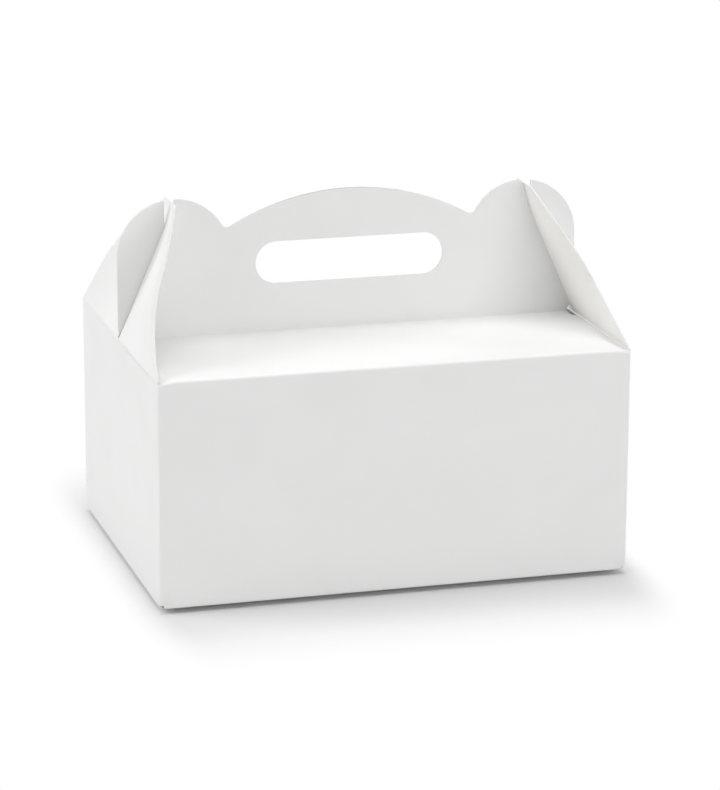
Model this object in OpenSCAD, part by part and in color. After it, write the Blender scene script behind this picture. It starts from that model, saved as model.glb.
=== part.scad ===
// Carry box for cakes, folded from one sheet of white card.
// X runs along the length, Y from front to back, Z up; the origin is the middle of the base.

/* [Body] */
// Length of the box, outside
body_l = 190; // [175:1:230]
// Depth of the box from front to back, outside
body_d = 140; // [128:1:170]
// Height of the walls up to the fold of the shoulders
wall_h = 92.5; // [60:0.5:130]
// Thickness of the card
card_t = 0.5; // [0.4:0.05:0.6]
// Outside radius of every fold
fold_r = 1; // [0.8:0.1:1.5]
// How far the shoulders sag at the handle
shoulder_sag = 1.2; // [0:0.1:2]
// Gap beside a shoulder at the box corner
corner_gap = 0.3; // [0.2:0.05:0.5]
// Gap beside a shoulder at the foot of the handle
relief_gap = 2.4; // [1.5:0.1:3]

/* [Handle] */
// Gap between the two handle panels
panel_gap = 0.2; // [0.1:0.05:0.3]
// Height of an ear's upright outer edge above the wall
ear_edge_h = 32; // [26:0.5:38]
// Radius of an ear's round top
ear_r = 22.7; // [18:0.1:26]
// Distance from the end of the panel to the valley beside the ear
valley_in = 43.5; // [38:0.1:44]
// Radius of the small curve in the valley
valley_r = 2.5; // [1:0.1:4]
// Rise of the arched grip above the valleys
arch_rise = 14.3; // [10:0.5:20]
// Length of the hand hole
hole_w = 78; // [60:1:90]
// Height of the hand hole
hole_h = 17.3; // [14:0.1:20]
// Height of the middle of the hand hole above the wall
hole_z = 26.8; // [22:0.1:29]
// Distance from the end of the panel to the ear's notch
notch_in = 19; // [16:0.5:20]
// Height of the notch's floor above the wall
notch_z = 44.2; // [42:0.1:49]
// Width of the notch's floor
notch_floor_w = 1.6; // [1.2:0.1:3]

/* [Side flaps] */
// Lean of a closed flap from upright, towards the handle
flap_lean = 24.5; // [23:0.5:26]
// Clearance between a flap and what it swings past
swing_gap = 0.35; // [0.25:0.05:0.5]
// How far the flap's edges wave about a straight line, in below and out above
edge_wave = 2.7; // [0:0.1:3]
// Half width of the flap a corner's radius below its tip
tip_half_w = 10.5; // [6:0.5:12]
// Radius of the corners at the tip
tip_r = 3.5; // [2:0.5:5]
// Card left across the tip above the slot
bridge_w = 1.5; // [1.2:0.1:5]
// How far the tip bends out of its lean towards upright
tip_bend = 2.4; // [0:0.1:3]
// Length of the flap's end over which it bends
bend_run = 25; // [15:1:35]
// How far the free wings of the flap curl outwards
wing_curl = 4.2; // [0:0.1:5]
// Gap between the foot of a flap and the wall's top edge
crease_gap = 0.2; // [0.1:0.05:0.3]

/* [Base] */
// Depth of the two end flaps of the base
end_flap = 45; // [38:1:48]
// How far the front base flap reaches past the middle
front_reach = 12; // [8:1:20]
// Half width of the locking tongue
tongue_half_w = 42; // [30:1:44]
// How far the back base flap reaches past the middle, beside its tongue
back_reach = 10; // [6:1:20]
// Length of the tongue that is tucked in
tongue_l = 14; // [8:1:20]
// Clear space round the tongue and between neighbouring base flaps
base_gap = 1.5; // [1:0.1:3]
// Run over which a base flap climbs on to the ones below
ramp_run = 12; // [8:1:15]
// Width of the glue flap inside the back wall
glue_w = 15; // [10:1:20]

/* [Hidden] */
$fn = 96;
card_white = [0.95, 0.95, 0.94];

half_l = body_l / 2;
half_d = body_d / 2;
// A fold's inside radius, and the top of the walls under the foot of a leaning flap
fold_in = fold_r - card_t;
wall_top = wall_h - card_t * sin(flap_lean) - crease_gap;
// Front and back faces of the two handle panels, measured from the middle
panel_in = panel_gap / 2;
panel_out = panel_in + card_t;
handle_z = wall_h - shoulder_sag;
shoulder_half_corner = half_l - card_t - corner_gap;
shoulder_half_handle = half_l - card_t - relief_gap;

// The ear, the arch and the little valley curve that joins them, in the plane of the panel
ear_c = [half_l - ear_r, ear_edge_h];
valley_x = half_l - valley_in;
valley_z = ear_edge_h + sqrt(pow(ear_r, 2) - pow(ear_c[0] - valley_x, 2));
arch_r = (pow(valley_x, 2) + pow(arch_rise, 2)) / (2 * arch_rise);
arch_c = [0, valley_z + arch_rise - arch_r];
valley_c = circles_meet(arch_c, arch_r + valley_r, ear_c, ear_r + valley_r);

// The creases of the flaps run along the outer edge of the end walls.
// The ear's lobe, outside its notch, reaches this far up the flap from there.
crease_x = half_l;
lobe_x = half_l - notch_in;
lobe_z = ear_edge_h + sqrt(pow(ear_r, 2) - pow(lobe_x - ear_c[0], 2));
slot_end = norm([crease_x - lobe_x, lobe_z]) + swing_gap;
slot_half_w = panel_out + swing_gap;
// Half the depth of the cut that makes the slot, past the card and its curl
slot_depth = 2 * (wing_curl + card_t);
flap_h = slot_end + bridge_w;
// Height above the wall that clears every panel outline
clear_z = flap_h + ear_r;
// Inner lower corner of the card across the tip: how far in from the crease and how high
bridge_n = bend(slot_end) - card_t;
bridge_in = slot_end * sin(flap_lean) - bridge_n * cos(flap_lean);
bridge_up = slot_end * cos(flap_lean) + bridge_n * sin(flap_lean);

// The long base flaps: half width at their fold, half width where they narrow,
// and where the front one's recess for the tongue begins
base_half = half_l - fold_r - base_gap / 2;
leg_half = base_half - end_flap / 3;
recess_y = -back_reach - base_gap;
// Slanted corners at the ends of the long base flaps
corner_cut = base_gap * 4;

flap_root = half_d - fold_r;
// The edges run on to the tip's corners, which leave them at the slope that they have there
edge_run = flap_h - tip_r;
tip_side = atan((flap_root - tip_half_w + 2 * PI * edge_wave) / edge_run);
tip_v = edge_run + tip_r * sin(tip_side);
tip_in = edge_curve(tip_v / edge_run) - tip_r * cos(tip_side);
rows_up = 18;
rows_tip = 2;
columns = 24;
// The curl rises and falls over this much of a turn up the flap
curl_turn = 175;

// Upper meeting point of two circles, the one on the right of the line from a to b
function circles_meet(a, ra, b, rb) =
    let (d = norm(b - a), u = (b - a) / d, along = (d * d + ra * ra - rb * rb) / (2 * d))
    a + along * u + sqrt(ra * ra - along * along) * [-u[1], u[0]];

// Half width of a side flap at a height v above its crease
function flap_half_w(v) =
    v < tip_v ? edge_curve(v / edge_run) :
    tip_in + sqrt(max(0, pow(tip_r, 2) - pow(v - edge_run, 2)));
function edge_curve(t) =
    flap_root + (tip_half_w - flap_root) * t - edge_wave * sin(360 * t);

// How far the flap's free edge stands out of its flat
function curl(v) = wing_curl * sin(curl_turn * v / flap_h);

// How far the flap's end has bent out at a height v above its crease
function bend(v) = tip_bend * pow(max(0, v - flap_h + bend_run) / bend_run, 2);

// A point of the flap: s from -1 to 1 across, v up from the crease, n out of its outer face
function flap_point(s, v, n) = [n + bend(v) + curl(v) * s * s, s * flap_half_w(v), v];

module fold_quarter() {
    // Quarter of a ring of card round a fold, in the corner of the first quadrant
    intersection() {
        difference() {
            circle(r = fold_r);
            circle(r = fold_in);
        }
        square(fold_r);
    }
}

module panel_outline() {
    difference() {
        union() {
            // Foot of the panel, cut back beside the fold
            polygon([
                [-shoulder_half_handle, -shoulder_sag - card_t],
                [shoulder_half_handle, -shoulder_sag - card_t],
                [shoulder_half_handle, 0],
                [half_l, relief_gap],
                [half_l, ear_edge_h],
                [-half_l, ear_edge_h],
                [-half_l, relief_gap],
                [-shoulder_half_handle, 0]
            ]);
            intersection() {
                translate(arch_c) circle(r = arch_r, $fn = 360);
                translate([-valley_c[0], 0]) square([2 * valley_c[0], clear_z]);
            }
            for (side = [-1, 1]) at_end(side) {
                translate(ear_c) circle(r = ear_r);
                valley_web();
            }
        }
        hand_hole();
        for (side = [-1, 1]) at_end(side) ear_notch();
    }
}

// Puts what is drawn for the right end at either end
module at_end(side) {
    if (side > 0) children();
    else mirror([1, 0, 0]) children();
}

module valley_web() {
    // Fills the sharp valley up to a curve that is tangent to the arch and the ear
    difference() {
        polygon([
            [valley_c[0], valley_c[1]],
            tangent_point(arch_c, arch_r),
            [valley_x, ear_edge_h],
            ear_c,
            tangent_point(ear_c, ear_r)
        ]);
        translate(valley_c) circle(r = valley_r);
    }
}

function tangent_point(centre, radius) =
    centre + radius * (valley_c - centre) / norm(valley_c - centre);

module hand_hole() {
    end_x = (hole_w - hole_h) / 2;
    translate([-end_x, hole_z - hole_h / 2]) square([2 * end_x, hole_h]);
    for (side = [-1, 1]) translate([side * end_x, hole_z]) circle(d = hole_h);
}

// The notch stands upright on its outer side. Its inner side slants up past the bent tip.
module ear_notch() {
    floor_x = lobe_x - notch_floor_w;
    tip_x = crease_x - bridge_in - swing_gap / cos(flap_lean);
    slope = (floor_x - tip_x) / (bridge_up - notch_z);
    polygon([
        [lobe_x, notch_z],
        [lobe_x, clear_z],
        [floor_x - slope * (clear_z - notch_z), clear_z],
        [floor_x, notch_z]
    ]);
}

// One handle panel with its shoulder and the fold at the wall, for the front
module shoulder_and_panel() {
    translate([0, -panel_in, wall_h]) rotate([90, 0, 0])
        linear_extrude(card_t) panel_outline();
    intersection() {
        rotate([90, 0, 90])
            linear_extrude(body_l, center = true) shoulder_section();
        linear_extrude(2 * wall_h) shoulder_plan();
    }
}

// Section from the wall over the fold to the foot of the handle panel, as Y and Z
module shoulder_section() {
    translate([-half_d + fold_r, wall_h - fold_r]) mirror([1, 0]) fold_quarter();
    polygon([
        [-half_d + fold_r, wall_h],
        [-half_d + fold_r, wall_h - card_t],
        [-panel_in, handle_z - card_t],
        [-panel_in, handle_z]
    ]);
}

module shoulder_plan() {
    polygon([
        [-shoulder_half_corner, -half_d],
        [shoulder_half_corner, -half_d],
        [shoulder_half_handle, 0],
        [-shoulder_half_handle, 0]
    ]);
}

module rounded_plan(inset, radius) {
    square([body_l - 2 * inset, body_d - 2 * (inset + radius)], center = true);
    square([body_l - 2 * (inset + radius), body_d - 2 * inset], center = true);
    for (x = [-1, 1], y = [-1, 1])
        translate([x * (half_l - inset - radius), y * (half_d - inset - radius)]) circle(r = radius);
}

// The tube of four walls, open above where the front and back walls fold over
module walls() {
    difference() {
        translate([0, 0, fold_r]) linear_extrude(wall_top - fold_r) difference() {
            rounded_plan(0, fold_r);
            rounded_plan(card_t, fold_in);
        }
        translate([-shoulder_half_corner, -body_d, wall_h - fold_r])
            cube([2 * shoulder_half_corner, 2 * body_d, wall_h]);
    }
}

// A base flap's section: the fold at the foot of its wall, a climb to its level, then flat.
// The first coordinate runs inwards from the wall's outer face.
module base_section(level, reach) {
    low = level * card_t;
    flat_from = fold_r + (level > 0 ? ramp_run : card_t);
    translate([fold_r, fold_r]) mirror([1, 0]) mirror([0, 1]) fold_quarter();
    polygon([
        [fold_r, 0],
        [flat_from, low],
        [reach, low],
        [reach, low + card_t],
        [flat_from, low + card_t],
        [fold_r, card_t]
    ]);
}

// Lays a section along the front wall, cut to a plan outline
module front_base(level, reach) {
    intersection() {
        translate([0, -half_d, 0]) rotate([90, 0, 90])
            linear_extrude(body_l, center = true) base_section(level, reach);
        linear_extrude(wall_h) children();
    }
}

module end_base(level, reach) {
    intersection() {
        translate([-half_l, 0, 0]) rotate([90, 0, 0])
            linear_extrude(body_d, center = true) base_section(level, reach);
        linear_extrude(wall_h) children();
    }
}

// Innermost base flap, on the front wall, with a recess for the tongue
module front_base_flap() {
    front_base(2, half_d + front_reach) polygon([
        [-base_half, -half_d],
        [base_half, -half_d],
        [base_half, -half_d + fold_r],
        [leg_half, 0],
        [leg_half - corner_cut, front_reach],
        [tongue_half_w + base_gap, front_reach],
        [tongue_half_w + base_gap, recess_y - ramp_run],
        [-tongue_half_w - base_gap, recess_y - ramp_run],
        [-tongue_half_w - base_gap, front_reach],
        [-leg_half + corner_cut, front_reach],
        [-leg_half, 0],
        [-base_half, -half_d + fold_r]
    ]);
}

// Base flap on the left wall, between the other two
module end_base_flap() {
    end_half = half_d - fold_r - base_gap / 2;
    end_base(1, end_flap) polygon([
        [-half_l, -end_half],
        [-half_l + fold_r, -end_half],
        [-half_l + end_flap, -end_half / 2],
        [-half_l + end_flap, end_half / 2],
        [-half_l + fold_r, end_half],
        [-half_l, end_half]
    ]);
}

// Outermost base flap, on the back wall, without its tongue
module back_base_flap() {
    mirror([0, 1, 0]) front_base(0, half_d + back_reach) polygon([
        [-base_half, -half_d],
        [base_half, -half_d],
        [base_half, -half_d + fold_r],
        [leg_half, back_reach / 2],
        [leg_half - corner_cut, back_reach],
        [-leg_half + corner_cut, back_reach],
        [-leg_half, back_reach / 2],
        [-base_half, -half_d + fold_r]
    ]);
}

// The tongue climbs through the recess and lies inside on the front base flap
module tongue() {
    top_level = 3 * card_t;
    rotate([90, 0, 90]) linear_extrude(2 * tongue_half_w, center = true) polygon([
        [-back_reach + card_t, 0],
        [-back_reach - ramp_run, top_level],
        [-back_reach - ramp_run - tongue_l, top_level],
        [-back_reach - ramp_run - tongue_l, top_level + card_t],
        [-back_reach - ramp_run, top_level + card_t],
        [-back_reach + card_t, card_t]
    ]);
}

// Strip that glues the left wall's end to the inside of the back wall
module glue_flap() {
    low = fold_r + base_gap;
    high = wall_top - base_gap;
    translate([-half_l + card_t, half_d - card_t, 0]) rotate([90, 0, 0])
        linear_extrude(card_t) polygon([
            [-card_t / 2, low],
            [glue_w, low + glue_w / 3],
            [glue_w, high - glue_w / 3],
            [-card_t / 2, high]
        ]);
}

module carton() {
    color(card_white) {
        walls();
        glue_flap();
        for (back = [0, 1]) mirror([0, back, 0]) shoulder_and_panel();
        front_base_flap();
        end_base_flap();
        mirror([1, 0, 0]) end_base_flap();
        back_base_flap();
        tongue();
    }
}

// Heights of the flap's rows, close together round the tip's corners
flap_rows = concat(
    [for (i = [0 : rows_up - 1]) tip_v * i / rows_up],
    [for (i = [0 : rows_tip]) edge_run + tip_r * sin(tip_side + (90 - tip_side) * i / rows_tip)]
);

// The flap as one curled sheet: rings of points run up the outside and down the inside
module curled_sheet() {
    up = len(flap_rows);
    ring = 2 * up;
    points = [for (j = [0 : columns]) let (s = 2 * j / columns - 1) each concat(
        [for (v = flap_rows) flap_point(s, v, 0)],
        [for (i = [up - 1 : -1 : 0]) flap_point(s, flap_rows[i], -card_t)]
    )];
    skin = [for (j = [0 : columns - 1], k = [0 : ring - 1]) let (
        a = j * ring + k,
        b = j * ring + (k + 1) % ring
    ) each [[a, b, b + ring], [a, b + ring, a + ring]]];
    edges = [for (last = [0, 1], i = [0 : up - 2]) let (
        a = last * columns * ring + i,
        b = a + 1,
        d = last * columns * ring + ring - 1 - i,
        c = d - 1
    ) each last == 1 ? [[a, b, c], [a, c, d]] : [[a, c, b], [a, d, c]]];
    polyhedron(points, concat(skin, edges), convexity = 4);
}

module side_flap() {
    color(card_white)
    translate([crease_x, 0, wall_h]) rotate([0, -flap_lean, 0]) difference() {
        curled_sheet();
        translate([-slot_depth, -slot_half_w, -card_t])
            cube([2 * slot_depth, 2 * slot_half_w, slot_end + card_t]);
    }
}

module right_side_flap() {
    side_flap();
}

module left_side_flap() {
    mirror([1, 0, 0]) side_flap();
}

carton();
left_side_flap();
right_side_flap();
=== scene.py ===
# %% [markdown]
# # A carry box for cakes, folded from one sheet
#
# The real box is one sheet of white coated card. A die cuts its outline, the hand holes, the
# notches and the slots, and presses a groove wherever it will fold. Somebody then glues one
# narrow strip, squares the tube up, locks the base and hooks the two side flaps over the ears.
#
# We do the same in Blender. The outline is drawn flat, as the cutting die sees it. It is cut
# into small triangles, every triangle is carried to its place by the folds, and only then does
# the sheet get its thickness. A box of six slabs would be quicker, but its corners would be
# sharp and shut, and card shows what it is in its round folds, open corners and bare cut edges.
#
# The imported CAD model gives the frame: millimetres here are the same millimetres there.

# %% Load the frame
import math

import bpy
import numpy as np
from mathutils import Matrix, Vector
from mathutils.geometry import delaunay_2d_cdt


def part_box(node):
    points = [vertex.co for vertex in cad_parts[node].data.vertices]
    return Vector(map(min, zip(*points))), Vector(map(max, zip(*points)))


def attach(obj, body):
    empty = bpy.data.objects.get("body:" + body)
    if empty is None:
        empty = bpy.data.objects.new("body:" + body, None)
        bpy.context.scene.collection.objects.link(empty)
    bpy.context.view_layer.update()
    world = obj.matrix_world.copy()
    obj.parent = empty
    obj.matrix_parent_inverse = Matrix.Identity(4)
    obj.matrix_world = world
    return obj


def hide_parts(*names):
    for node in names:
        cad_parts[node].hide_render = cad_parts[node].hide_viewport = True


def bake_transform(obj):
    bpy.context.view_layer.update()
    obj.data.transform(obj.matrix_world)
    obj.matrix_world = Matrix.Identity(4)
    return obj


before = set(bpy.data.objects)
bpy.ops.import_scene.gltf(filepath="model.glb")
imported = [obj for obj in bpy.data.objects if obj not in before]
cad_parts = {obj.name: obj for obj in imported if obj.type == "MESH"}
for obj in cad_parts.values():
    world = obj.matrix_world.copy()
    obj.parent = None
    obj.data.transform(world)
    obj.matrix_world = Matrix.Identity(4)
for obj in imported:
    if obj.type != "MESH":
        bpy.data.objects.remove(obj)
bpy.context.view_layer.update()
MM = 0.001
scene = bpy.context.scene
scene.view_settings.view_transform = "Standard"

# %% [markdown]
# ## Where the camera stood
#
# The eight corners of the box in the picture fix the camera: a long lens from 1.4 m away, in
# front and a little to the left, looking down on the shoulders. We write that as a direction
# and a distance and let Python work out the matrix, so that each number can still be read.
# A camera looks along its own -Z, with +Y as up.

# %% Place the camera
YAW, PITCH, ROLL = (math.radians(a) for a in (16.05, 15.54, 0.23))
CAMERA_DISTANCE, CAMERA_ASIDE, CAMERA_DOWN = 1.440, 0.00444, 0.00039
AIM = Vector((0, 0, 0.0625))
PICTURE_HEIGHT, FOCAL_PIXELS, SENSOR = 790, 3556, 36.0

level = math.cos(PITCH)
forward = Vector((math.sin(YAW) * level, math.cos(YAW) * level, -math.sin(PITCH)))
level_right = forward.cross(Vector((0, 0, 1))).normalized()
level_up = level_right.cross(forward)
right = level_right * math.cos(ROLL) + level_up * math.sin(ROLL)
up = level_up * math.cos(ROLL) - level_right * math.sin(ROLL)

lens = bpy.data.cameras.new("photo_camera")
lens.sensor_width = SENSOR
lens.lens = FOCAL_PIXELS * SENSOR / PICTURE_HEIGHT
camera = bpy.data.objects.new("photo_camera", lens)
axes = Matrix((right, up, -forward)).transposed()
place = AIM - forward * CAMERA_DISTANCE + right * CAMERA_ASIDE - up * CAMERA_DOWN
camera.matrix_world = Matrix.Translation(place) @ axes.to_4x4()
scene.collection.objects.link(camera)
scene.camera = camera
print("camera at", [round(c, 3) for c in place], "lens", round(lens.lens, 1), "mm")

# %% [markdown]
# ## The sizes we fold to
#
# Length and depth belong to the CAD model, so they are asked of it; the card's thickness is given here.
# The others are the same numbers that its source names: a fold's outside radius, the sag of the shoulders
# and the heights on the handle. All of them are in millimetres.

# %% Sizes of the box
_, high = (Vector(corner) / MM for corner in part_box("carton"))
HALF_L, HALF_D = high.x, high.y
CARD = 0.5
WALL_H = 92.5
FOLD_R = 1.0
INNER_FOLD_R = 0.35
SHOULDER_SAG = 1.2
PANEL_FACE = 0.6
print("half length", round(HALF_L, 2), "half depth", round(HALF_D, 2), "handle top", round(high.z, 2))

# %% [markdown]
# ## A path that rounds its corners
#
# Seen from the end, folded card is a line that turns a corner wherever it is creased, and each
# corner is a small arc. One helper serves them all. It walks such a line by its length, which
# is the distance that we would measure on the flat sheet, and says where that point ends up.
# The same helper goes round the four walls seen from above.

# %% Helper: a line with rounded corners
class FoldPath:
    """A line through corners, each rounded to a radius, walked by the length of card used."""

    def __init__(self, corners, radii):
        points = [Vector(c) for c in corners]
        self.runs, self.arcs = [], []
        here, used = points[0], 0.0
        for corner, after, radius in zip(points[1:], points[2:], radii):
            ahead, turned = (corner - here).normalized(), (after - corner).normalized()
            cross = ahead.x * turned.y - ahead.y * turned.x
            angle = math.atan2(abs(cross), ahead.dot(turned))
            side = Vector((-ahead.y, ahead.x)) * (1 if cross > 0 else -1)
            start = corner - ahead * radius * math.tan(angle / 2)
            straight = (start - here).length
            self.runs.append((used, straight, here, ahead, None, 0))
            used += straight
            self.runs.append((used, radius * angle, start, ahead, side, radius))
            self.arcs.append((used, used + radius * angle))
            used += radius * angle
            here = corner + turned * radius * math.tan(angle / 2)
        last = points[-1] - here
        self.runs.append((used, last.length, here, last.normalized(), None, 0))
        self.length = used + last.length

    def at(self, walked):
        """The point reached after that much card."""
        run = next((r for r in self.runs if walked <= r[0] + r[1] + 1e-9), self.runs[-1])
        used, _, start, ahead, side, radius = run
        along = walked - used
        if side is None:
            return start + ahead * along
        angle = along / radius
        return start + ahead * radius * math.sin(angle) + side * radius * (1 - math.cos(angle))

    def stations(self, step, arc_steps=6):
        """Lengths at which the sheet needs a row of corners: often in the arcs, else every step."""
        marks = []
        for used, length, _, _, side, _ in self.runs:
            parts = arc_steps if side is not None else max(1, round(length / step))
            marks += [used + length * i / parts for i in range(parts + 1)]
        return sorted(set(round(m, 4) for m in marks))

# %% [markdown]
# ## Round the four walls
#
# The tube starts with the glue strip, which lies inside the back wall, and goes left wall,
# front, right, back. The back wall simply ends, so its raw edge is the seam that a careful eye
# finds at the back left corner. We walk on the outer face of the card; its inner face comes
# from the thickness later.

# %% The walls seen from above
GLUE_W, GLUE_FILM = 15.0, 0.05
SEAM_SET_IN = 0.4
GLUE_Y = HALF_D - CARD - GLUE_FILM
WALL_STEP = 5.0
around = FoldPath(
    [(-HALF_L + GLUE_W + CARD, GLUE_Y), (-HALF_L, GLUE_Y), (-HALF_L, -HALF_D),
     (HALF_L, -HALF_D), (HALF_L, HALF_D), (-HALF_L + SEAM_SET_IN, HALF_D)],
    [FOLD_R] * 4,
)
# For each wall: the length walked at its middle, a point on its face, the way along, the way in
corner_ends = [end for _, end in around.arcs]
WALLS = {
    "left": (corner_ends[0] + GLUE_Y - FOLD_R, (-HALF_L, 0), (0, -1), (1, 0)),
    "front": (corner_ends[1] + HALF_L - FOLD_R, (0, -HALF_D), (1, 0), (0, 1)),
    "right": (corner_ends[2] + HALF_D - FOLD_R, (HALF_L, 0), (0, 1), (-1, 0)),
    "back": (corner_ends[3] + HALF_L - FOLD_R, (0, HALF_D), (-1, 0), (0, -1)),
}
print("sheet round the walls:", round(around.length, 1), "mm")

# %% [markdown]
# ## From the base up to the handle
#
# The other way through the sheet is a section: the base flap, the fold at its foot, the wall,
# and on the front and back the fold to the shoulder and the turn up into the handle panel.
# The base flaps lie on each other in the order that locks them, back one lowest, so each
# section starts at its own level. They bulge down a little, which lifts the folds at the foot
# of the walls clear of the table and draws the dark line round the foot of every such box.
# Length is counted so that it equals height on the wall. The straight wall starts a little
# above the arc of that fold, at TUBE_FOOT, and ends a little below the top, at SEAM_Z.

# %% Sections through each wall
AIR_BETWEEN_LAYERS = 0.02
LAYER = CARD + AIR_BETWEEN_LAYERS
RAMP = 12.0
FOOT_LIFT = 2.0
END_FLAP, FRONT_REACH, BACK_REACH, TONGUE_L = 45.0, 12.0, 10.0, 14.0
BEND_R = 6.0
HANDLE_TOP = 60.0
TUBE_FOOT = FOOT_LIFT + 1.25 * FOLD_R
SEAM_Z = WALL_H - FOLD_R


def base_corners(level, reach):
    """Corners of a base flap's section, from its free edge to the fold at its wall."""
    return [(reach, level * LAYER), (FOLD_R + RAMP, level * LAYER), (0, FOOT_LIFT)]


shoulder_corners = [
    (0, WALL_H),
    (HALF_D - PANEL_FACE, WALL_H - SHOULDER_SAG),
    (HALF_D - PANEL_FACE, WALL_H + HANDLE_TOP),
]
tongue_foot = HALF_D + BACK_REACH - CARD
tongue_top = HALF_D + BACK_REACH + RAMP
fold_radii = [FOLD_R, FOLD_R, INNER_FOLD_R]
SECTIONS = {
    "front": FoldPath(
        base_corners(2, HALF_D + FRONT_REACH) + shoulder_corners, [BEND_R] + fold_radii
    ),
    "back": FoldPath(
        [(tongue_top + TONGUE_L, 3 * LAYER), (tongue_top, 3 * LAYER), (tongue_foot, 0)]
        + base_corners(0, tongue_foot)[1:] + shoulder_corners,
        [BEND_R, BEND_R, BEND_R] + fold_radii,
    ),
    "left": FoldPath(base_corners(1, END_FLAP) + [(0, SEAM_Z)], [BEND_R, FOLD_R]),
    "right": FoldPath(base_corners(1, END_FLAP) + [(0, SEAM_Z)], [BEND_R, FOLD_R]),
}
# Where the fold at the foot of each wall starts and ends, and the length that stands for height 0
FOOT_ARC = {"front": 1, "back": 3, "left": 1, "right": 1}
foot_folds = {wall: SECTIONS[wall].arcs[FOOT_ARC[wall]] for wall in SECTIONS}
ZERO = {wall: end - SECTIONS[wall].at(end).y for wall, (_, end) in foot_folds.items()}


def reach_to_v(wall, reach):
    """Height on the flat sheet of a point on the base that lies so far in from the wall."""
    start = foot_folds[wall][0]
    return start - ZERO[wall] - (reach - SECTIONS[wall].at(start).x)


for wall, section in SECTIONS.items():
    print(wall, "section, mm of card:", round(section.length, 1))

# %% [markdown]
# ## The outline of the handle
#
# Each handle panel is an arched grip with a hand hole between two round ears. The ears carry
# the notches that the side flaps drop into: upright outside, slanted inside, so that they are
# wide at the mouth and grip the card at the floor. Two circles of the outline meet in a sharp
# valley, which a die can't cut cleanly, so a little curve that touches both takes its place.
# Where the shoulder meets the foot of the panel, its end is cut back a little, or the fold
# would tear there. We draw one half and mirror it.

# %% Outline of a handle panel
LEAN = math.radians(24.5)
EAR_EDGE, EAR_R = 32.0, 22.7
VALLEY_X, VALLEY_R, ARCH_RISE = 51.5, 2.5, 14.29
HOLE_W, HOLE_H, HOLE_Z = 78.0, 17.3, 26.8
LOBE_X, NOTCH_Z, NOTCH_FLOOR, NOTCH_SLANT = 76.0, 44.2, 1.6, math.radians(14.3)
FOOT_X, RELIEF = 92.1, 2.4
RELIEF_CUT = [(93.7, -10.0), (92.0, -7.0), (92.1, -1.0)]
OUTLINE_STEP, VALLEY_STEP, ARCH_STEP = 1.2, 0.4, 2.0


def arc(centre, radius, start, end, step=OUTLINE_STEP):
    """Points on a circle from one angle to another, in radians."""
    parts = max(4, math.ceil(abs(end - start) * radius / step))
    angles = [start + (end - start) * i / parts for i in range(parts + 1)]
    return [(centre[0] + radius * math.cos(a), centre[1] + radius * math.sin(a)) for a in angles]


def angle_of(point, centre):
    return math.atan2(point[1] - centre[1], point[0] - centre[0])


def circles_meet(first, first_r, second, second_r):
    """The upper point where two circles cross."""
    a, b = Vector(first), Vector(second)
    gap = b - a
    along = (gap.length_squared + first_r ** 2 - second_r ** 2) / (2 * gap.length)
    ahead = gap.normalized()
    return a + ahead * along + Vector((-ahead.y, ahead.x)) * math.sqrt(first_r ** 2 - along ** 2)


ear = Vector((HALF_L - EAR_R, EAR_EDGE))
valley_z = EAR_EDGE + math.sqrt(EAR_R ** 2 - (ear.x - VALLEY_X) ** 2)
arch_r = (VALLEY_X ** 2 + ARCH_RISE ** 2) / (2 * ARCH_RISE)
arch = Vector((0, valley_z + ARCH_RISE - arch_r))
valley = circles_meet(arch, arch_r + VALLEY_R, ear, EAR_R + VALLEY_R)
lobe_z = EAR_EDGE + math.sqrt(EAR_R ** 2 - (LOBE_X - ear.x) ** 2)
notch_in = LOBE_X - NOTCH_FLOOR

# The notch's slanted side leaves the ear where that line crosses the circle
slant = Vector((-math.sin(NOTCH_SLANT), math.cos(NOTCH_SLANT)))
from_ear = Vector((notch_in, NOTCH_Z)) - ear
back_along = from_ear.dot(slant)
climb = math.sqrt(back_along ** 2 - from_ear.length_squared + EAR_R ** 2) - back_along
notch_out = ear + from_ear + slant * climb

half_panel = (
    [(FOOT_X, 0), (HALF_L, RELIEF)]
    + arc(ear, EAR_R, 0, angle_of((LOBE_X, lobe_z), ear))
    + [(LOBE_X, NOTCH_Z), (notch_in, NOTCH_Z)]
    + arc(ear, EAR_R, angle_of(notch_out, ear), angle_of(valley, ear))
    + arc(valley, VALLEY_R, angle_of(ear, valley), angle_of(arch, valley), VALLEY_STEP)[1:-1]
    + arc(arch, arch_r, angle_of(valley, arch), math.pi / 2, ARCH_STEP)
)
hole_end = (HOLE_W - HOLE_H) / 2
hand_hole = arc((hole_end, HOLE_Z), HOLE_H / 2, -math.pi / 2, math.pi / 2) + arc(
    (-hole_end, HOLE_Z), HOLE_H / 2, math.pi / 2, 3 * math.pi / 2
)
print("valley at", [round(c, 1) for c in valley], "arch radius", round(arch_r, 1))

# %% [markdown]
# ## The whole blank
#
# Now the die's outline of everything but the side flaps, which turn and so are pieces of their
# own. We go round it once: over the glue strip, along the tops of the walls with the shoulders
# and handles standing on the front and back, and home along the bottom with the base flaps.
# The front base flap has a recess and the back one a tongue, which is how the base locks.

# %% Outline of the blank
GLUE_SHORT, GLUE_TAPER = 1.5, 5.0
SHOULDER_HALF = HALF_L - FOLD_R
BASE_GAP = 0.75
BASE_HALF = HALF_L - FOLD_R - BASE_GAP
END_HALF = HALF_D - FOLD_R - BASE_GAP
LEG_HALF = BASE_HALF - END_FLAP / 3
BASE_CORNER, TONGUE_HALF, TONGUE_ROOM = 6.0, 42.0, 1.5


def panel_v(wall, height):
    """Height on the flat sheet of a point of the handle panel, from its height above the walls."""
    turn_end = SECTIONS[wall].arcs[-1][1]
    return turn_end - ZERO[wall] + WALL_H + height - SECTIONS[wall].at(turn_end).y


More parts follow.
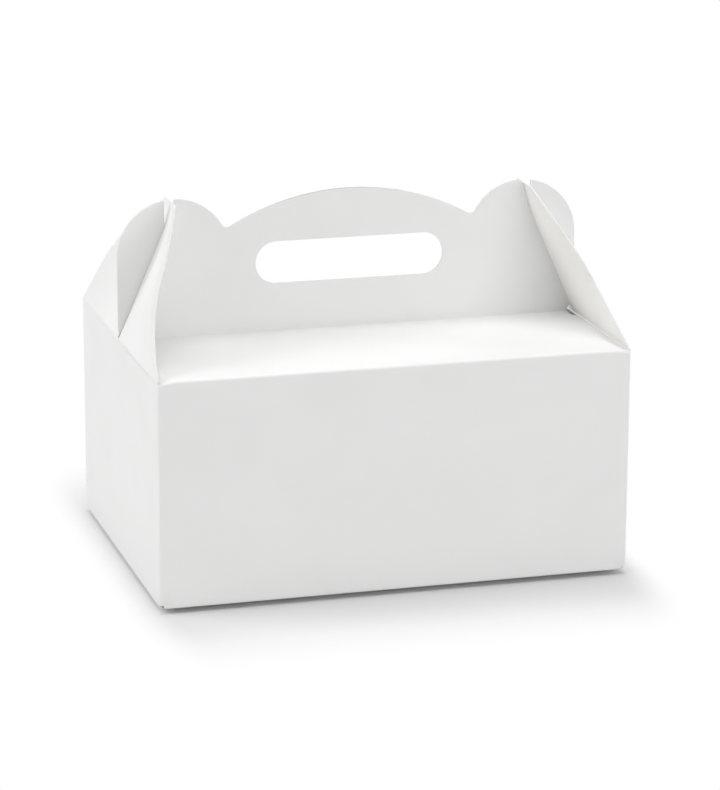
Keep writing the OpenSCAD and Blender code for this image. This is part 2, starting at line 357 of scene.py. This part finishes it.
def both_sides(wall, half):
    """A half outline and its mirror image, from one side of the wall's middle to the other."""
    middle = WALLS[wall][0]
    return [(middle - t, v) for t, v in half] + [(middle + t, v) for t, v in reversed(half)]


top_edge = [(0, TUBE_FOOT + GLUE_SHORT + GLUE_TAPER), (0, SEAM_Z - GLUE_SHORT - GLUE_TAPER)]
top_edge += [(around.arcs[0][0], SEAM_Z - GLUE_SHORT), (around.arcs[0][1], SEAM_Z)]
for wall in ("front", "back"):
    foot_v = panel_v(wall, 0)
    shoulder_end = [(SHOULDER_HALF, SEAM_Z)] + [(t, foot_v + z) for t, z in RELIEF_CUT]
    top_edge += both_sides(wall, shoulder_end + [(t, panel_v(wall, z)) for t, z in half_panel])
top_edge += [(around.length, SEAM_Z)]

base_halves = {
    "back": [
        (BASE_HALF, FOLD_R), (LEG_HALF, HALF_D + BACK_REACH / 2),
        (LEG_HALF - BASE_CORNER, HALF_D + BACK_REACH),
        (TONGUE_HALF, HALF_D + BACK_REACH), (TONGUE_HALF, tongue_top + TONGUE_L),
    ],
    "right": [(END_HALF, FOLD_R), (HALF_D / 2, END_FLAP)],
    "front": [
        (BASE_HALF, FOLD_R), (LEG_HALF, HALF_D), (LEG_HALF - BASE_CORNER, HALF_D + FRONT_REACH),
        (TONGUE_HALF + TONGUE_ROOM, HALF_D + FRONT_REACH),
        (TONGUE_HALF + TONGUE_ROOM, HALF_D - BACK_REACH - RAMP - TONGUE_ROOM),
    ],
    "left": [(END_HALF, FOLD_R), (HALF_D / 2, END_FLAP)],
}
bottom_edge = [(around.length, TUBE_FOOT)]
for wall, half in base_halves.items():
    flap = [(half[0][0], TUBE_FOOT)] + [(t, reach_to_v(wall, reach)) for t, reach in half]
    bottom_edge += reversed(both_sides(wall, flap))
bottom_edge += [(around.arcs[0][1], TUBE_FOOT), (around.arcs[0][0], TUBE_FOOT + GLUE_SHORT)]

blank_outlines = [top_edge + bottom_edge]
for wall in ("front", "back"):
    blank_outlines.append([(WALLS[wall][0] + t, panel_v(wall, z)) for t, z in hand_hole])
print("corners on the blank's outline:", sum(len(line) for line in blank_outlines))

# %% [markdown]
# ## Cutting the sheet into triangles
#
# A sheet that is to bend needs corners where it bends: close rows across each crease and a
# loose net elsewhere, or a bowed wall stays flat. We rule both sets of lines over the outline
# and let Delaunay's method join all the crossings. It fills in the holes and the space around
# as well, so a triangle stays only if its middle is inside an odd number of outlines. The rows
# run on at one height round the walls, because slivers between rows that nearly meet would
# throw the thickness off.

# %% Helper: cut a flat sheet
WELD, SLIVER = 1e-4, 1e-6


def inside(points, outlines):
    """Which points lie on card: inside the outline and in none of its holes."""
    x, y = points[:, 0], points[:, 1]
    odd = np.zeros(len(points), bool)
    for line in outlines:
        for (x0, y0), (x1, y1) in zip(line, line[1:] + line[:1]):
            if y0 != y1:
                odd ^= ((y0 > y) != (y1 > y)) & (x < (x1 - x0) * (y - y0) / (y1 - y0) + x0)
    return odd


def cut_sheet(outlines, net):
    """Flat corners and triangles of a sheet, with extra corners wherever the net lies on card."""
    points, edges = [], []
    for line in outlines:
        first = len(points)
        points += line
        edges += [(first + i, first + (i + 1) % len(line)) for i in range(len(line))]
    points += [tuple(p) for p in net[inside(net, outlines)]]
    cut = delaunay_2d_cdt([Vector(p) for p in points], edges, [], 0, WELD)
    flat = np.array([tuple(p) for p in cut[0]])
    faces = np.array(cut[2])
    middles = flat[faces].mean(axis=1)
    faces = faces[inside(middles, outlines)]
    a, b, c = (flat[faces[:, i]] for i in range(3))
    area = (b[:, 0] - a[:, 0]) * (c[:, 1] - a[:, 1]) - (b[:, 1] - a[:, 1]) * (c[:, 0] - a[:, 0])
    faces[area < 0] = faces[area < 0][:, ::-1]
    return flat, faces[np.abs(area) > SLIVER]


def nearest_wall(u, walls=tuple(WALLS)):
    """The wall whose stretch of the sheet holds this length, or lies closest to it."""
    halves = {"left": HALF_D, "right": HALF_D, "front": HALF_L, "back": HALF_L}
    return min(walls, key=lambda wall: abs(u - WALLS[wall][0]) - halves[wall])


ROW_INSET, ROW_COUNT = 0.5, 18
WALL_ROWS = list(np.linspace(TUBE_FOOT + ROW_INSET, SEAM_Z - ROW_INSET, ROW_COUNT))


def rows_at(wall):
    """Heights of the net's rows: the same round all four walls, the section's own elsewhere."""
    own = [mark - ZERO[wall] for mark in SECTIONS[wall].stations(WALL_STEP)]
    return [v for v in own if not TUBE_FOOT < v < SEAM_Z] + WALL_ROWS


blank_net = np.array([(u, v) for u in around.stations(WALL_STEP) for v in rows_at(nearest_wall(u))])
blank_flat, blank_faces = cut_sheet(blank_outlines, blank_net)
print("blank:", len(blank_flat), "corners", len(blank_faces), "triangles")

# %% [markdown]
# ## Folding the blank
#
# Every corner of the flat sheet now finds its place. On the walls, the path seen from above
# gives its place and the height stays. Above and below them the wall's own section says how
# far in and how high it goes. Card is never quite flat: the walls bow in by less than a
# millimetre, most on the narrow ones just under the flaps that pull at them, the shoulders
# hang a little, and the two handle panels stand a hair apart at the grip.

# %% Fold the blank
WALL_BOW = {"left": 1.1, "right": 0.9, "front": 0.35, "back": 0.4}
BOW_POWER = {"left": 1.8, "right": 1.8, "front": 1.0, "back": 1.0}
SHOULDER_HANG = 0.5
GRIP_SPREAD = 0.45
long_run, short_run = HALF_L - FOLD_R, HALF_D - FOLD_R
half_run = {"left": short_run, "right": short_run, "front": long_run, "back": long_run}


def fade(t, half):
    """1 in the middle of a stretch of card, falling smoothly to 0 at its two ends."""
    return max(0.0, 1 - (t / half) ** 2) ** 2


def wall_bow(wall, t, v):
    """How far the wall is pushed in at a distance from its middle and a height."""
    up = min(1.0, max(0.0, (v - TUBE_FOOT) / (SEAM_Z - TUBE_FOOT)))
    return WALL_BOW[wall] * fade(t, half_run[wall]) * math.sin(math.pi * up ** BOW_POWER[wall])


def on_tube(u, v):
    """A point of the four walls, and of the strip glued inside."""
    wall = nearest_wall(u)
    spot = around.at(u)
    bow = wall_bow(wall, u - WALLS[wall][0], v) if u > around.arcs[0][1] else 0
    inward = WALLS[wall][3]
    return Vector((spot.x + inward[0] * bow, spot.y + inward[1] * bow, v))


def on_section(wall, u, v):
    """A point of a shoulder, a handle panel or a base flap."""
    middle, face, along, inward = WALLS[wall]
    t = u - middle
    spot = SECTIONS[wall].at(v + ZERO[wall])
    reach, height = spot.x, spot.y
    if v > SEAM_Z:
        turn = SECTIONS[wall].arcs[-1][0] - ZERO[wall]
        over = min(1.0, max(0.0, (v - SEAM_Z) / (turn - SEAM_Z)))
        height -= SHOULDER_HANG * fade(t, half_run[wall]) * math.sin(math.pi * over)
        above = max(0.0, height - WALL_H) / (arch.y + arch_r)
        reach -= GRIP_SPREAD * fade(t, VALLEY_X + EAR_R) * above ** 2
    return Vector((
        face[0] + along[0] * t + inward[0] * reach,
        face[1] + along[1] * t + inward[1] * reach,
        height,
    ))


def fold(u, v):
    """Where a corner of the flat blank ends up in the folded box, in millimetres."""
    if TUBE_FOOT <= v <= SEAM_Z:
        return on_tube(u, v)
    return on_section(nearest_wall(u, ("front", "back") if v > SEAM_Z else tuple(WALLS)), u, v)


folded = [fold(u, v) for u, v in blank_flat]
print("folded height, mm:", round(max(p.z for p in folded), 2))

# %% [markdown]
# ## Giving the sheet its thickness
#
# So far the mesh is the coated outer face alone. Blender's Solidify adds the inner face half a
# millimetre in and closes the cut edges, and it can give each its own material, which is just
# what card is: a smooth white coat, a plain inside and a fibrous edge. Two values are kept on
# every corner for the finishes: its place on the flat sheet, so that the fibres run on over a
# fold, and how close it lies to a crease.

# %% Helper: card from a folded sheet
CREASE_HALF_WIDTH = 0.8
SHARP_EDGE = math.radians(40)


def crease_mark(distance):
    """1 on a crease, fading to 0 beside it."""
    return math.exp(-((distance / CREASE_HALF_WIDTH) ** 2))


def make_card(name, places, faces, flat, creases, finishes):
    """A mesh object with the thickness of card, from the folded corners of its outer face."""
    sheet = bpy.data.meshes.new(name)
    sheet.from_pydata([p * MM for p in places], [], [tuple(int(i) for i in f) for f in faces])
    on_sheet = sheet.attributes.new("flat_sheet", "FLOAT_VECTOR", "POINT")
    on_sheet.data.foreach_set("vector", np.array([(u * MM, v * MM, 0) for u, v in flat]).ravel())
    near_crease = sheet.attributes.new("crease", "FLOAT", "POINT")
    near_crease.data.foreach_set("value", np.array(creases))
    for finish in finishes:
        sheet.materials.append(finish)
    card = bpy.data.objects.new(name, sheet)
    scene.collection.objects.link(card)
    thick = card.modifiers.new("card", "SOLIDIFY")
    thick.thickness, thick.offset, thick.use_even_offset = CARD * MM, -1, True
    thick.material_offset, thick.material_offset_rim = 1, 2
    bpy.context.view_layer.update()
    evaluated = card.evaluated_get(bpy.context.evaluated_depsgraph_get())
    solid = bpy.data.meshes.new_from_object(evaluated)
    card.modifiers.clear()
    card.data = solid
    solid.name = name
    solid.shade_smooth()
    solid.set_sharp_from_angle(angle=SHARP_EDGE)
    print(name, "has", len(solid.vertices), "corners,", len(solid.polygons), "faces")
    return card

# %% [markdown]
# ## Shader maths in plain Python
#
# A finish is a small sum: a base value, plus a little noise, plus a painted shade at the creases. In
# Blender each plus or minus is a Math node. The class below wraps a node's socket and lets Python's own
# operators add those nodes, so the finishes further down read as the sums they are.

# %% Helper: finishes
class Value:
    """A socket that can be added, multiplied and so on; each operator adds a Math node."""

    def __init__(self, finish, socket):
        self.finish, self.socket = finish, socket

    def _sum(self, operation, first, second):
        return self.finish.node("ShaderNodeMath", {"operation": operation}, {0: first, 1: second})

    def __add__(self, other):
        return self._sum("ADD", self, other)

    def __sub__(self, other):
        return self._sum("SUBTRACT", self, other)

    def __rsub__(self, other):
        return self._sum("SUBTRACT", other, self)

    def __mul__(self, other):
        return self._sum("MULTIPLY", self, other)

    __radd__ = __add__
    __rmul__ = __mul__


class Finish:
    """The nodes of a material or of the room around it, built up one by one."""

    def __init__(self, owner):
        self.owner = owner
        owner.use_nodes = True
        self.tree = owner.node_tree
        self.tree.nodes.clear()

    def node(self, kind, settings=None, sockets=None, output=0):
        """Adds a node of a type: first its settings, then its sockets' values or links."""
        made = self.tree.nodes.new(kind)
        for key, value in (settings or {}).items():
            setattr(made, key, value)
        for key, value in (sockets or {}).items():
            if isinstance(value, Value):
                self.tree.links.new(value.socket, made.inputs[key])
            else:
                made.inputs[key].default_value = value
        return Value(self, made.outputs[output]) if made.outputs else made

    def mix(self, factor, first, second):
        """A colour part of the way from the first to the second."""
        return self.node(
            "ShaderNodeMix", {"data_type": "RGBA"}, {0: factor, 6: first, 7: second}, output=2
        )

    def surface(self, shader, output="ShaderNodeOutputMaterial"):
        self.node(output, {}, {"Surface": shader})
        return self.owner


print("helpers ready")

# %% [markdown]
# ## Three finishes of one sheet
#
# The outside is coated: white, smooth and a little satin, with only a faint cloudiness. The
# inside is bare board: a trace warmer, matt, with short fibres all lying along the grain. The
# cut edge shows the grey-white middle of the board in thin layers. The noise is laid on the
# flat sheet, stretched along the grain, so it never slides when a flap turns.

# %% The card's finishes
GRAIN_STRETCH = (1, 3.5, 1)
CLOUD_SCALE, FIBRE_SCALE, PRESSED_SCALE = 38, 900, 260
CLOUD_SHADE, FIBRE_SHADE, SHADE_OFFSET = 1.6, 0.6, 0.6
FIBRE_HEIGHT, PRESSED_HEIGHT, CREASE_HEIGHT = 0.6, 0.4, 0.5
BUMP_STRENGTH, FIBRE_GLOSS, CREASE_GLOSS = 0.35, 0.12, 0.08


def rgb(red, green, blue):
    return (red, green, blue, 1)


def card_finish(name, light, dark, roughness, fibre_depth, painted_crease_shade, specular):
    """Card with fibres along the grain; light and dark are the two ends of its cloudiness, and a painted
    shade draws the colour towards dark along the creases.
    """
    finish = Finish(bpy.data.materials.new(name))
    spot = finish.node("ShaderNodeAttribute", {"attribute_name": "flat_sheet"}, output=1)
    crease = finish.node("ShaderNodeAttribute", {"attribute_name": "crease"}, output=2)
    grain = finish.node("ShaderNodeVectorMath", {"operation": "MULTIPLY"}, {0: spot, 1: GRAIN_STRETCH})
    cloud = finish.node("ShaderNodeTexNoise", {}, {"Vector": spot, "Scale": CLOUD_SCALE, "Detail": 3})
    fibre = finish.node("ShaderNodeTexNoise", {}, {
        "Vector": grain, "Scale": FIBRE_SCALE, "Detail": 4, "Roughness": 0.6,
    })
    pressed = finish.node("ShaderNodeTexNoise", {}, {"Vector": spot, "Scale": PRESSED_SCALE, "Detail": 2})
    # painted shade: the crease value pulls the colour towards dark along every fold, on top of the random
    # cloudiness
    shade = cloud * CLOUD_SHADE + fibre * FIBRE_SHADE - SHADE_OFFSET + crease * painted_crease_shade
    height = fibre * FIBRE_HEIGHT + pressed * PRESSED_HEIGHT - crease * CREASE_HEIGHT
    bump = finish.node("ShaderNodeBump", {}, {
        "Strength": BUMP_STRENGTH, "Distance": fibre_depth, "Height": height,
    })
    body = finish.node("ShaderNodeBsdfPrincipled", {}, {
        "Base Color": finish.mix(shade, light, dark),
        "Roughness": roughness + (fibre - 0.5) * FIBRE_GLOSS + crease * CREASE_GLOSS,
        "Specular IOR Level": specular,
        "Normal": bump,
    })
    return finish.surface(body)


CARD_FINISHES = [
    card_finish(
        "coated_white", light=rgb(0.885, 0.885, 0.881), dark=rgb(0.858, 0.858, 0.854),
        roughness=0.52, fibre_depth=0.00006, painted_crease_shade=0.25, specular=0.4,
    ),
    card_finish(
        "bare_inside", light=rgb(0.86, 0.856, 0.835), dark=rgb(0.80, 0.794, 0.768),
        roughness=0.86, fibre_depth=0.00006, painted_crease_shade=0.15, specular=0.2,
    ),
    card_finish(
        "cut_edge", light=rgb(0.85, 0.847, 0.83), dark=rgb(0.77, 0.765, 0.745),
        roughness=0.92, fibre_depth=0.00008, painted_crease_shade=0.0, specular=0.1,
    ),
]
print("finishes:", [finish.name for finish in CARD_FINISHES])

# %% [markdown]
# ## The folded sheet
#
# With places, faces and finishes at hand, the carton is one call. It rides on the body of the
# same name and stands in for its CAD solid, which stays behind for the physics.

# %% Make the carton
def blank_creases(u, v):
    """How close a corner of the blank lies to any crease."""
    on_wall = TUBE_FOOT <= v <= SEAM_Z
    gaps = [abs(u - (start + end) / 2) for start, end in around.arcs] if on_wall else []
    wall = nearest_wall(u, ("front", "back") if v > SEAM_Z else tuple(WALLS))
    folds = SECTIONS[wall].arcs[FOOT_ARC[wall]:]
    gaps += [abs(v + ZERO[wall] - (start + end) / 2) for start, end in folds]
    return crease_mark(min(gaps))


carton = make_card(
    "folded_carton", folded, blank_faces, blank_flat,
    [blank_creases(u, v) for u, v in blank_flat], CARD_FINISHES,
)
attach(carton, "carton")
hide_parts("carton")

# %% [markdown]
# ## The side flaps
#
# A side flap narrows to a blunt tip, and its slot is pushed down over the ears until the card
# across the tip drops into their notches. The ears hold its middle; its two wings are free and
# spring outwards, a little more at the back than in front and more on the left than the right.
# The tip bends towards upright, because the notches hold it there and the crease pushes it out.
# Its corners are arcs that leave the slanted sides smoothly, at the slope they have up there.
# Each flap starts as a narrow strip of its wall, just below the crease, so that the crease itself is part
# of the piece.

# %% The shape of a side flap
FLAP_ROOT, TIP_HALF = HALF_D - FOLD_R, 10.5
TIP_R, TIP_SIDE = 3.5, math.radians(53.2)
EDGE_RUN, EDGE_WAVE = 56.4, 2.7
SLOT_END, FLAP_H, SLOT_GAP = 48.4, 57.9, 0.35
SLOT_HALF = PANEL_FACE + SLOT_GAP
TIP_BEND, TIP_BEND_RUN = 2.4, 24.0
CURL_TURN = math.radians(175)
WING_CURL = {"left": (4.9, 5.7), "right": (3.4, 4.2)}
CREASE_R = 1.5
FLAP_STEP, EDGE_PARTS, TIP_STEP, SLOT_STEP = 2.5, 40, 0.5, 0.3
CREASE_ROW, CREASE_ROWS, ROWS_FROM, ROWS_UP = 0.2, 21, 3.6, 24
tip_v = FLAP_H - TIP_R * (1 - math.sin(TIP_SIDE))


def edge_of_flap(v):
    """Half the width of a flap at a height above its crease."""
    share = v / EDGE_RUN
    return FLAP_ROOT + (TIP_HALF - FLAP_ROOT) * share - EDGE_WAVE * math.sin(2 * math.pi * share)


strip = WALL_H - SEAM_Z
marks = [tip_v * i / EDGE_PARTS for i in range(EDGE_PARTS + 1)]
side = [(FLAP_ROOT, -strip)] + [(edge_of_flap(v), v) for v in marks]
tip_centre = (edge_of_flap(tip_v) - TIP_R * math.cos(TIP_SIDE), FLAP_H - TIP_R)
side += arc(tip_centre, TIP_R, TIP_SIDE, math.pi / 2, TIP_STEP)[1:]
slot = [(-SLOT_HALF, 0), (SLOT_HALF, 0)]
slot += arc((0, SLOT_END - SLOT_HALF), SLOT_HALF, 0, math.pi, SLOT_STEP)
flap_outlines = [[(-t, v) for t, v in side] + list(reversed(side)), slot]

flap_rows = [i * CREASE_ROW - strip for i in range(1, CREASE_ROWS + 1)]
flap_rows += [ROWS_FROM + (FLAP_H - ROWS_FROM) * i / ROWS_UP for i in range(ROWS_UP + 1)]
flap_columns = np.linspace(-FLAP_ROOT, FLAP_ROOT, 2 * round(FLAP_ROOT / FLAP_STEP) + 1)
flap_net = np.array([(t, v) for t in flap_columns for v in flap_rows])
flap_flat, flap_faces = cut_sheet(flap_outlines, flap_net)
print("flap height", round(FLAP_H, 2), "corners", len(flap_flat))

# %% Fold and place both flaps
FLAP_SECTION = FoldPath(
    [(0, SEAM_Z), (0, WALL_H), (FLAP_H * math.sin(LEAN), WALL_H + FLAP_H * math.cos(LEAN))], [CREASE_R]
)


def place_on_flap(side_name, t, v):
    """Where a corner of the flat flap ends up; t counts from front to back."""
    spot = FLAP_SECTION.at(v + strip)
    share = min(1.0, abs(t) / edge_of_flap(min(max(v, 0), tip_v)))
    curl = WING_CURL[side_name][t > 0] * math.sin(CURL_TURN * max(v, 0) / FLAP_H) * share ** 2
    out = curl + TIP_BEND * max(0, (v - FLAP_H) / TIP_BEND_RUN + 1) ** 2
    inward, height = spot.x - out * math.cos(LEAN), spot.y + out * math.sin(LEAN)
    sign = 1 if side_name == "right" else -1
    return Vector((sign * (HALF_L - inward), t, height))


for side_name, sign in (("left", -1), ("right", 1)):
    along = WALLS[side_name][2][1]
    flat_u = [(WALLS[side_name][0] + t, WALL_H + v) for t, v in flap_flat]
    places = [place_on_flap(side_name, along * t, v) for t, v in flap_flat]
    flap = make_card(
        side_name + "_flap_and_crease", places, flap_faces, flat_u,
        [crease_mark(v) for _, v in flap_flat], CARD_FINISHES,
    )
    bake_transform(flap)
    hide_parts(side_name + "_side_flap")

# %% [markdown]
# ## Floor
#
# The box stands on a white paper sweep that has no edge in the picture. Close to the box the paper is a
# light grey, lit like everything else, so that it takes the soft shadow. Further out it fades to plain
# white for the camera alone; to get there with light would bleach the card. The fade from grey paper to
# white is a painted shade round the foot, on top of the real shadow. The distance is measured from the
# foot of the box, and it counts three times sideways, because the shade at the short ends is narrow.

# %% Make the floor
FLOOR_HALF = 6.0
WHITE_FROM, WHITE_BY = 0.015, 0.07
SIDEWAYS, SHADE_INSET = 3.0, 0.010
# painted shade: this grey paper near the box, fading to white further out, darkens the floor round the
# foot on top of the lamps' real shadow
PAPER_GREY = 0.74
floor_mesh = bpy.data.meshes.new("white_sweep")
floor_corners = [(x * FLOOR_HALF, y * FLOOR_HALF, 0) for x, y in ((-1, -1), (1, -1), (1, 1), (-1, 1))]
floor_mesh.from_pydata(floor_corners, [], [(0, 1, 2, 3)])
floor = bpy.data.objects.new("white_sweep", floor_mesh)
scene.collection.objects.link(floor)

sweep = Finish(bpy.data.materials.new("white_paper_sweep"))
seen = sweep.node("ShaderNodeLightPath", output=0)
spot = sweep.node("ShaderNodeNewGeometry", output=0)
side_of_box = sweep.node("ShaderNodeVectorMath", {"operation": "ABSOLUTE"}, {0: spot})
foot = (HALF_L * MM - SHADE_INSET, HALF_D * MM, 0)
beyond = sweep.node("ShaderNodeVectorMath", {"operation": "SUBTRACT"}, {0: side_of_box, 1: foot})
outside = sweep.node("ShaderNodeVectorMath", {"operation": "MAXIMUM"}, {0: beyond, 1: (0, 0, 0)})
stretched = sweep.node(
    "ShaderNodeVectorMath", {"operation": "MULTIPLY"}, {0: outside, 1: (SIDEWAYS, 1, 1)}
)
distance = sweep.node("ShaderNodeVectorMath", {"operation": "LENGTH"}, {0: stretched}, output=1)
far = sweep.node("ShaderNodeMapRange", {"interpolation_type": "SMOOTHSTEP"}, {
    "Value": distance, "From Min": WHITE_FROM, "From Max": WHITE_BY,
})
paper = sweep.node("ShaderNodeBsdfDiffuse", {}, {"Color": rgb(PAPER_GREY, PAPER_GREY, PAPER_GREY)})
white = sweep.node("ShaderNodeEmission", {}, {"Color": rgb(1, 1, 1), "Strength": 1.0})
floor_mesh.materials.append(sweep.surface(
    sweep.node("ShaderNodeMixShader", {}, {0: seen * far, 1: paper, 2: white})
))
print("floor", 2 * FLOOR_HALF, "m across, white from", WHITE_BY, "m")

# %% [markdown]
# ## Lamps
#
# Five broad softboxes stand round the box: one overhead for the shoulders, one at the left for
# the side wall and the outside of its flap, a weaker one at the right, and a low one in front,
# set to the right so that the ear behind the left flap stays in the shade. A weak one behind
# keeps the back wall readable. The room adds a little. Area lamps this large give the soft,
# short shadows that show a white thing on white.

# %% Set up the lamps
ROOM_LEVEL = 0.31
SOFTBOX_SIZE = 1.4
SOFTBOXES = {
    "overhead_softbox": ((0, 0, 1.9), 18),
    "left_softbox": ((-1.6, 0.2, 1.2), 20.5),
    "right_softbox": ((1.9, 0.2, 0.8), 9),
    "low_front_softbox": ((0.7, -1.8, 0.35), 16),
    "back_softbox": ((0.2, 1.9, 0.7), 8),
}
for name, (stand, watts) in SOFTBOXES.items():
    softbox = bpy.data.lights.new(name, "AREA")
    softbox.shape, softbox.size, softbox.energy = "SQUARE", SOFTBOX_SIZE, watts
    lamp = bpy.data.objects.new(name, softbox)
    lamp.location = stand
    lamp.rotation_euler = (AIM - Vector(stand)).to_track_quat("-Z", "Y").to_euler()
    scene.collection.objects.link(lamp)
    print(name, watts, "W")

room = Finish(bpy.data.worlds.new("white_room"))
seen = room.node("ShaderNodeLightPath", output=0)
glow = room.node("ShaderNodeBackground", {}, {"Strength": seen * (1 - ROOM_LEVEL) + ROOM_LEVEL})
scene.world = room.surface(glow, "ShaderNodeOutputWorld")
